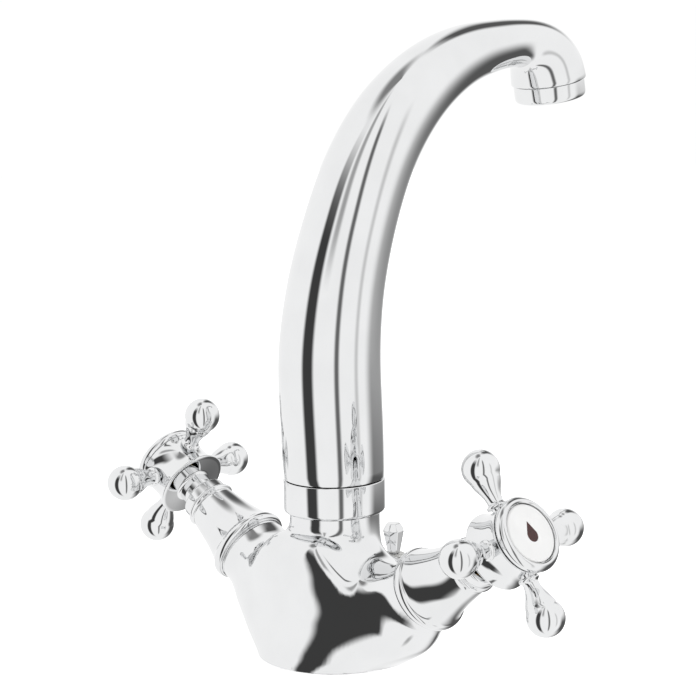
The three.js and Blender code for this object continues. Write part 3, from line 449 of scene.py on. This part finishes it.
def build_body():
    points, faces = surface_net(body_distance, (-58, -38, -0.7), (58, 36, 56), GRID)
    for _ in range(3):
        g = slope(body_distance, points)
        d = body_distance(*points.T)
        push = d / np.maximum((g ** 2).sum(1), 0.25)
        points -= np.clip(push, -0.3, 0.3)[:, None] * g
    out = np.hypot(points[:, 0], points[:, 1])
    rim = (np.abs(out - FOOT_RADIUS) < RIM_REACH) & (points[:, 2] < FOOT_Z + RIM_RISE)
    points[rim, :2] *= (FOOT_RADIUS / out[rim])[:, None]
    points[rim, 2] = FOOT_Z
    planes = [((0, 0, NECK_TOP), (0, 0, 1))]
    for side in (-1, 1):
        arm = arm_frame(side)
        planes.append((arm @ Vector((0, 0, ARM_END)), arm.to_3x3() @ Vector((0, 0, 1))))
    points, faces = sliced(points, faces, planes)
    piece("body_shell", points, faces, "base", ["body_casting"], "chrome", 38)


build_body()


# ------------------------------------------------------------------ collar
def build_collar():
    points, faces = turned([
        (14.5, 52, 0.2), (17.2, 52, 0.3), (18, 52.8, 0.5), (18, 63.7, 0.35), (14.5, 63.7, 0.2),
        (14.5, 52, 0)], 160)
    piece("collar_shell", points, faces, "base", ["collar_nut"], "chrome")


build_collar()


# ------------------------------------------------------------------ spout
SEAT_Z = 64
REACH = 119
TOP_Z = 211.5
OUTLET_Z = 196.7
TILT = math.radians(10.3)
OUTLET_RADIUS = 14.3
TUBE = [
    (0, 0, 17.8), (-0.004, 0.105, 18.1), (-0.009, 0.21, 18.15), (-0.008, 0.3, 17.95), (0.003, 0.375, 17.55),
    (0.022, 0.45, 17.1), (0.083, 0.595, 16.2), (0.178, 0.744, 15.3), (0.244, 0.812, 14.7),
    (0.325, 0.873, 13.9), (0.417, 0.923, 12.9), (0.515, 0.96, 11.8), (0.618, 0.984, 10.6), (0.73, 0.997, 9.5)]
DROP = [
    (17, 23.7, 19.6, 6.1, 9.1), (5, 22.4, 17.2, 5.4, 10.2), (-4.9, 18.2, 15.8, 3.9, 11.7),
    (-11, 11.4, 15, 1.7, 13.3)]


def spout_sections():
    """Rows of back y, back z, inside y, inside z and half width."""
    centres = np.array([(-REACH * a, SEAT_Z + (TOP_Z - SEAT_Z) * b) for a, b, _ in TUBE])
    rows = []
    for i, (_, _, radius) in enumerate(TUBE):
        ahead = centres[min(i + 1, len(TUBE) - 1)] - centres[max(i - 1, 0)]
        if i == 0:
            ahead = np.array([0, 1.0])
        ahead = ahead / np.linalg.norm(ahead)
        outward = np.array([ahead[1], -ahead[0]]) * radius
        rows.append([*(centres[i] + outward), *(centres[i] - outward), radius])
    for by, bz, iy, iz, half in DROP:
        rows.append([by - REACH, bz + OUTLET_Z, iy - REACH, iz + OUTLET_Z, half])
    lip = np.array([-math.cos(TILT), math.sin(TILT)]) * OUTLET_RADIUS
    outlet = np.array([-REACH, OUTLET_Z])
    rows.append([*(outlet + lip), *(outlet - lip), OUTLET_RADIUS])
    return np.array(rows)


def build_spout(rings=150, sides=112):
    rows = spout_sections()
    middle = (rows[:, 0:2] + rows[:, 2:4]) / 2
    knots = np.concatenate([[0], np.cumsum(np.linalg.norm(np.diff(middle, axis=0), axis=1))])
    fine = spline(knots, rows, np.linspace(0, knots[-1], rings))
    angles = np.arange(sides) * 2 * math.pi / sides
    points = []

    def add(row, shrink, lift=0.0, ahead=(0.0, 0.0)):
        back, inside, half = row[0:2], row[2:4], row[4]
        centre = (back + inside) / 2 + np.array(ahead) * lift
        depth = (back - inside) / 2
        depth = depth * (1 - shrink / np.linalg.norm(depth))
        for a in angles:
            y, z = centre + depth * math.cos(a)
            points.append(((half - shrink) * math.sin(a), y, z))

    up, out = np.array([0.0, 1.0]), np.array([-math.sin(TILT), -math.cos(TILT)])
    add(fine[0], 2.8, 11.5, up)
    add(fine[0], 2.8, 0.0, up)
    add(fine[0], 0.5, 0.0, up)
    add(fine[0], 0.15, 0.12, up)
    add(fine[0], 0.0, 0.5, up)
    for row in fine[2:-1]:
        add(row, 0.0)
    add(fine[-1], 0.0, -0.35, out)
    add(fine[-1], 0.1, -0.08, out)
    add(fine[-1], 0.35, 0.0, out)
    add(fine[-1], 2.4, 0.0, out)
    add(fine[-1], 2.4, -6.6, out)
    count = len(points) // sides
    faces = tube_faces(count, sides)
    for ring, flip in ((0, True), (count - 1, False)):
        face = [ring * sides + i for i in range(sides)]
        faces.append(tuple(face if flip else face[::-1]))
    faces = [tuple(reversed(f)) for f in faces]
    piece("spout_shell", points, faces, "swivel_spout", ["spout"], "chrome")


build_spout()


# ------------------------------------------------------------------ aerator
def at_outlet():
    return Matrix.Translation((0, -REACH, OUTLET_Z)) @ Matrix.Rotation(-TILT, 4, "X")


def build_aerator():
    points, faces = turned([
        (8.7, -6.85, 0.2), (12.3, -6.85, 0.4), (13.2, -6.45, 0.8), (13.5, -5.45, 0.8), (13.5, -0.3, 0.3),
        (11.6, -0.3, 0.1), (11.6, 5, 0.2), (10, 5, 0.2), (10, -5.45, 0.2), (8.7, -5.45, 0.2),
        (8.7, -6.85, 0)], 128)
    piece("aerator_shell", moved(points, at_outlet()), faces, "swivel_spout", ["aerator_housing"], "chrome")


build_aerator()


# ------------------------------------------------------------------ arms: sleeves and handles
SLEEVE_CURVE = [
    (54.9, 14.05), (56, 13.5), (58, 12.75), (60, 12.15), (64, 11.15), (68, 10.4), (72, 9.75), (74.3, 9.35)]


def sleeve_profile():
    stations = np.array(SLEEVE_CURVE)
    heights = np.linspace(stations[0, 0], stations[-1, 0], 26)
    radii = spline(stations[:, 0], stations[:, 1:2], heights)[:, 0]
    corners = [
        (12.6, 50.3, 0.1), (13.1, 50.3, 0.2), (13.3, 50.65, 0.15), (13.15, 50.85, 0.1), (13.8, 50.8, 0.2),
        (14, 51.1, 0.15), (13.9, 51.35, 0.1), (14.5, 51.4, 0.3), (14.95, 52.3, 0.6), (15, 53.6, 0.6),
        (14.6, 54.5, 0.4)]
    corners += [(r, h, 0) for h, r in zip(heights, radii)]
    corners += [
        (8.9, 75, 0.2), (9.0, 75.3, 0.15), (9.75, 75.9, 0.4), (9.9, 76.4, 0.4), (9.6, 76.9, 0.3),
        (8.85, 77.2, 0.15), (8.75, 77.5, 0.2), (8.75, 80.8, 0.3), (8.3, 81.3, 0.2), (7.2, 81.3, 0.1),
        (7.2, 75.3, 0), (9.7, 66, 0), (11.4, 58, 0), (12.1, 54, 0), (12.1, 50.3, 0), (12.6, 50.3, 0)]
    return corners


def hub_profile():
    return [
        (3.7, 82.3, 0.1), (5.9, 82.3, 0.2), (6.2, 82.6, 0.2), (6.2, 87.2, 0.6), (7, 87.9, 0.3),
        (12.6, 88.25, 0.5), (13.45, 88.5, 0.25), (13.6, 89, 0.4), (13.2, 89.7, 0.5), (12.45, 91.2, 1.4),
        (11.8, 94, 2), (11.8, 98.4, 2), (12.2, 100.7, 1), (12.9, 102.1, 0.2), (4.9, 102.1, 0.1),
        (4.9, 96.3, 0.1), (3.7, 96.3, 0.1), (3.7, 82.3, 0)]


def cap_profile():
    return [
        (5, 102.4, 0), (12.6, 102.4, 0.3), (13.15, 103.4, 0.5), (13.2, 104.5, 0.5), (12.75, 105.3, 0.5),
        (11.9, 106.1, 0.5), (11.2, 106.35, 0.4), (10.5, 105.8, 0.2), (10.5, 103.4, 0.1), (5, 103.4, 0),
        (5, 102.4, 0)]


SPOKE_PLANE = 96.64  # along the arm axis
BALL_RADIUS = 6.55
BALL_CENTRE = 26.8
BALL_START = -34  # degrees
BALL_STEPS = 21


def spoke_profile():
    stations = np.array([(15.0, 2.75), (16.2, 2.92), (17.6, 3.35), (19.4, 4.15), (21, 4.85), (22.3, 5.3)])
    heights = np.linspace(15.0, 22.3, 16)
    radii = spline(stations[:, 0], stations[:, 1:2], heights)[:, 0]
    corners = [
        (0, 8.3, 0), (2.2, 8.3, 0), (2.2, 12.4, 0), (3.3, 12.4, 0.2), (3.6, 12.9, 0.3), (3.6, 13.4, 0.3),
        (3.1, 13.9, 0.3), (2.75, 14.3, 0.3)]
    corners += [(r, h, 0) for h, r in zip(heights, radii)]
    for k in range(BALL_STEPS + 1):
        a = math.radians(BALL_START + (90 - BALL_START) * k / BALL_STEPS)
        radius = BALL_RADIUS * math.cos(a) if k < BALL_STEPS else 0
        corners.append((radius, BALL_CENTRE + BALL_RADIUS * math.sin(a), 0))
    return corners


def drop_points(radius, steps=40):
    """Outline of a water drop with its point towards +X."""
    outline = []
    for k in range(steps + 1):
        a = math.radians(62 + 236 * k / steps)
        outline.append((radius * math.cos(a) - 0.4 * radius, radius * math.sin(a)))
    outline.append((1.7 * radius, 0))
    return outline


def disc_profile():
    return [
        (0, 103.7, 0), (10.2, 103.7, 0), (10.2, 105.5, 0.3), (9.7, 105.9, 0.4), (6, 106.0, 0.5),
        (0, 106.02, 0)]


MARK_RADIUS = 2.35
MARK_HEIGHTS = (105.4, 106.05)  # along the arm axis


def build_mark(name, matrix, body, node, slot):
    outline = drop_points(MARK_RADIUS)
    low, high = ([(x, y, height) for x, y in outline] for height in MARK_HEIGHTS)
    count = len(outline)
    faces = [tuple(reversed(range(count))), tuple(range(count, 2 * count))]
    for i in range(count):
        j = (i + 1) % count
        faces.append((i, j, count + j, count + i))
    piece(name, moved(low + high, matrix), faces, body, [node], slot)


def build_arm(name, side, ink):
    arm = arm_frame(side)
    handle = f"{name}_handle"
    points, faces = turned(sleeve_profile(), 144)
    piece(f"{name}_sleeve_shell", moved(points, arm), faces, "base", [f"{name}_valve_sleeve"], "chrome", 40)
    points, faces = turned(hub_profile(), 128)
    piece(f"{name}_hub_shell", moved(points, arm), faces, handle, [f"{name}_handle_hub"], "chrome", 40)
    points, faces = turned(cap_profile(), 128)
    piece(f"{name}_cap_shell", moved(points, arm), faces, handle, [f"{name}_cap_ring"], "chrome", 40)
    points, faces = turned(disc_profile(), 128)
    piece(f"{name}_disc_shell", moved(points, arm), faces, handle, [f"{name}_index_disc"], "porcelain", 40)
    build_mark(f"{name}_mark_shell", arm, handle, f"{name}_index_mark", ink)
    for i in range(4):
        points, faces = turned(spoke_profile(), 64)
        turn = Matrix.Rotation(i * math.pi / 2, 4, "Z") @ Matrix.Rotation(math.pi / 2, 4, "X")
        place = arm @ Matrix.Translation((0, 0, SPOKE_PLANE)) @ turn
        node = f"{name}_spoke_{i + 1}"
        piece(f"{node}_shell", moved(points, place), faces, handle, [node], "chrome", 40)


build_arm("hot", -1, "hot_ink")
build_arm("cold", 1, "cold_ink")


# ------------------------------------------------------------------ lift knob and rod
KNOB_OUTLINE = [(2.4, 30.5), (4.1, 38.8), (2.6, 41.4)]  # radius and height
KNOB_SIDES = 8
KNOB_TURN = math.radians(20)
ROD_RADIUS = 1.5
ROD_ENDS = (3, 35.5)


def build_knob():
    rings = []
    for radius, z in KNOB_OUTLINE:
        for k in range(KNOB_SIDES):
            a = KNOB_TURN + k * math.pi / 4
            rings.append((radius * math.cos(a), ROD_Y + radius * math.sin(a), z))
    faces = tube_faces(len(KNOB_OUTLINE), KNOB_SIDES)
    faces.append(tuple(reversed(range(KNOB_SIDES))))
    faces.append(tuple(range(len(rings) - KNOB_SIDES, len(rings))))
    knob = piece("knob_shell", rings, faces, "lift_rod_and_knob", ["lift_knob"], "chrome", 20)
    edge = knob.modifiers.new("edges", "BEVEL")
    edge.width = 0.25 * MM
    edge.segments = 3
    edge.limit_method = "ANGLE"


def build_rod():
    low, high = ROD_ENDS
    points, faces = turned([(0, low, 0), (ROD_RADIUS, low, 0.3), (ROD_RADIUS, high, 0.1), (0, high, 0)], 48)
    place = Matrix.Translation((0, ROD_Y, 0))
    piece("rod_shell", moved(points, place), faces, "lift_rod_and_knob", ["lift_rod"], "stainless")


build_knob()
build_rod()


# ------------------------------------------------------------------ finishes of the kept CAD pieces
slot_of = {s["node"]: s["material_slot"] for s in frame["record"]["subparts"]}
for node, obj in frame["nodes"].items():
    if obj.hide_render:
        continue
    obj.data.materials.clear()
    obj.data.materials.append(SLOT_MATERIALS[slot_of[node]])
    obj.data.shade_smooth()
    obj.data.set_sharp_from_angle(angle=math.radians(30))


# ------------------------------------------------------------------ floor, light and camera
FLOOR_RADIUS = 1.8  # metres
FLOOR_SIDES = 96
FLOOR_GLOW = 0.75  # fades the shadow into the white background


def build_floor():
    mesh = bpy.data.meshes.new("floor")
    angles = np.linspace(0, 2 * math.pi, FLOOR_SIDES + 1)[:-1]
    ring = [(FLOOR_RADIUS * math.cos(a), FLOOR_RADIUS * math.sin(a), 0) for a in angles]
    mesh.from_pydata(ring, [], [tuple(range(FLOOR_SIDES))])
    floor = bpy.data.objects.new("floor", mesh)
    bpy.context.scene.collection.objects.link(floor)
    material, tree, shader = new_material("pale_floor")
    shade = ramp(tree, noise(tree, 3), (0.9, 0.9, 0.9), (0.94, 0.94, 0.94))
    tree.links.new(shade, shader.inputs["Base Color"])
    shader.inputs["Roughness"].default_value = 0.9
    shader.inputs["Specular IOR Level"].default_value = 0.1
    shader.inputs["Emission Color"].default_value = (1, 1, 1, 1)
    shader.inputs["Emission Strength"].default_value = FLOOR_GLOW
    mesh.materials.append(material)
    floor.visible_glossy = False


build_floor()


def maths(tree, operation, *values):
    node = tree.nodes.new("ShaderNodeMath")
    node.operation = operation
    for i, value in enumerate(values):
        if isinstance(value, (int, float)):
            node.inputs[i].default_value = value
        else:
            tree.links.new(value, node.inputs[i])
    return node.outputs[0]


# A pale studio tent with dark cards hung round it: compass direction, half width and softness,
# middle height, half height and softness, all in degrees, then how dark the card is.
CARDS = [
    (84, 13, 9, -10, 60, 40, 0.95),
    (112, 7, 10, 52, 26, 20, 0.6),
    (150, 5, 7, 0, 60, 20, 0.85),
    (196, 4, 8, 0, 30, 20, 0.35),
    (262, 34, 26, -30, 24, 30, 0.9),
    (292, 14, 16, 44, 22, 24, 0.9),
    (20, 60, 60, 84, 16, 14, 0.75)]


def smooth_edge(tree, away, half, soft):
    """1 inside half, 0 past the soft border."""
    edge = tree.nodes.new("ShaderNodeMapRange")
    edge.interpolation_type = "SMOOTHSTEP"
    edge.inputs["From Min"].default_value = half - soft / 2
    edge.inputs["From Max"].default_value = half + soft / 2
    edge.inputs["To Min"].default_value = 1
    edge.inputs["To Max"].default_value = 0
    tree.links.new(away, edge.inputs["Value"])
    return edge.outputs["Result"]


def build_world():
    world = bpy.data.worlds.new("studio")
    bpy.context.scene.world = world
    world.use_nodes = True
    tree = world.node_tree
    background = tree.nodes["Background"]
    coords = tree.nodes.new("ShaderNodeTexCoord")
    split = tree.nodes.new("ShaderNodeSeparateXYZ")
    tree.links.new(coords.outputs["Generated"], split.inputs[0])
    angle = maths(tree, "ARCTAN2", split.outputs["Y"], split.outputs["X"])
    compass = maths(tree, "MULTIPLY", angle, 180 / math.pi)
    tilt = maths(tree, "MULTIPLY", maths(tree, "ARCSINE", split.outputs["Z"]), 180 / math.pi)
    light = None
    for centre, half, soft, middle, half_height, soft_height, depth in CARDS:
        turn = maths(tree, "SUBTRACT", compass, (centre + 180) % 360 - 180)
        aside = maths(tree, "ABSOLUTE", maths(tree, "WRAP", turn, 180, -180))
        above = maths(tree, "ABSOLUTE", maths(tree, "SUBTRACT", tilt, middle))
        across = smooth_edge(tree, aside, half, soft)
        upright = smooth_edge(tree, above, half_height, soft_height)
        card = maths(tree, "MULTIPLY", maths(tree, "MULTIPLY", across, upright), depth)
        clear = maths(tree, "SUBTRACT", 1, card)
        light = clear if light is None else maths(tree, "MULTIPLY", light, clear)
    path = tree.nodes.new("ShaderNodeLightPath")
    seen = maths(tree, "MAXIMUM", light, path.outputs["Is Camera Ray"])
    colour = tree.nodes.new("ShaderNodeCombineColor")
    for channel in ("Red", "Green", "Blue"):
        tree.links.new(seen, colour.inputs[channel])
    tree.links.new(colour.outputs[0], background.inputs["Color"])
    background.inputs["Strength"].default_value = 1.02


build_world()


CAMERA_AZIMUTH = 224.62  # degrees
CAMERA_HEIGHT = 9.877
CAMERA_ROLL = -1.048
CAMERA_PIVOT = (175.891, -186.459, 65.278)  # millimetres, the view runs back from here
CAMERA_BACK = 1.071108  # metres
LENS = 120.04  # on a sensor 36 mm wide


def build_camera():
    azimuth, height, roll = (math.radians(a) for a in (CAMERA_AZIMUTH, CAMERA_HEIGHT, CAMERA_ROLL))
    back = Vector((
        math.sin(azimuth) * math.cos(height), -math.cos(azimuth) * math.cos(height), math.sin(height)))
    right = Vector((0, 0, 1)).cross(back).normalized()
    up = back.cross(right)
    right, up = (
        right * math.cos(roll) + up * math.sin(roll),
        up * math.cos(roll) - right * math.sin(roll))
    place = Vector(CAMERA_PIVOT) * MM + back * CAMERA_BACK
    data = bpy.data.cameras.new("camera")
    data.sensor_width = 36
    data.lens = LENS
    data.clip_start = 0.05
    camera = bpy.data.objects.new("camera", data)
    turn = Matrix((right, up, back)).transposed().to_4x4()
    camera.matrix_world = Matrix.Translation(place) @ turn
    bpy.context.scene.collection.objects.link(camera)
    bpy.context.scene.camera = camera


build_camera()
bpy.context.scene.view_settings.view_transform = "Standard"
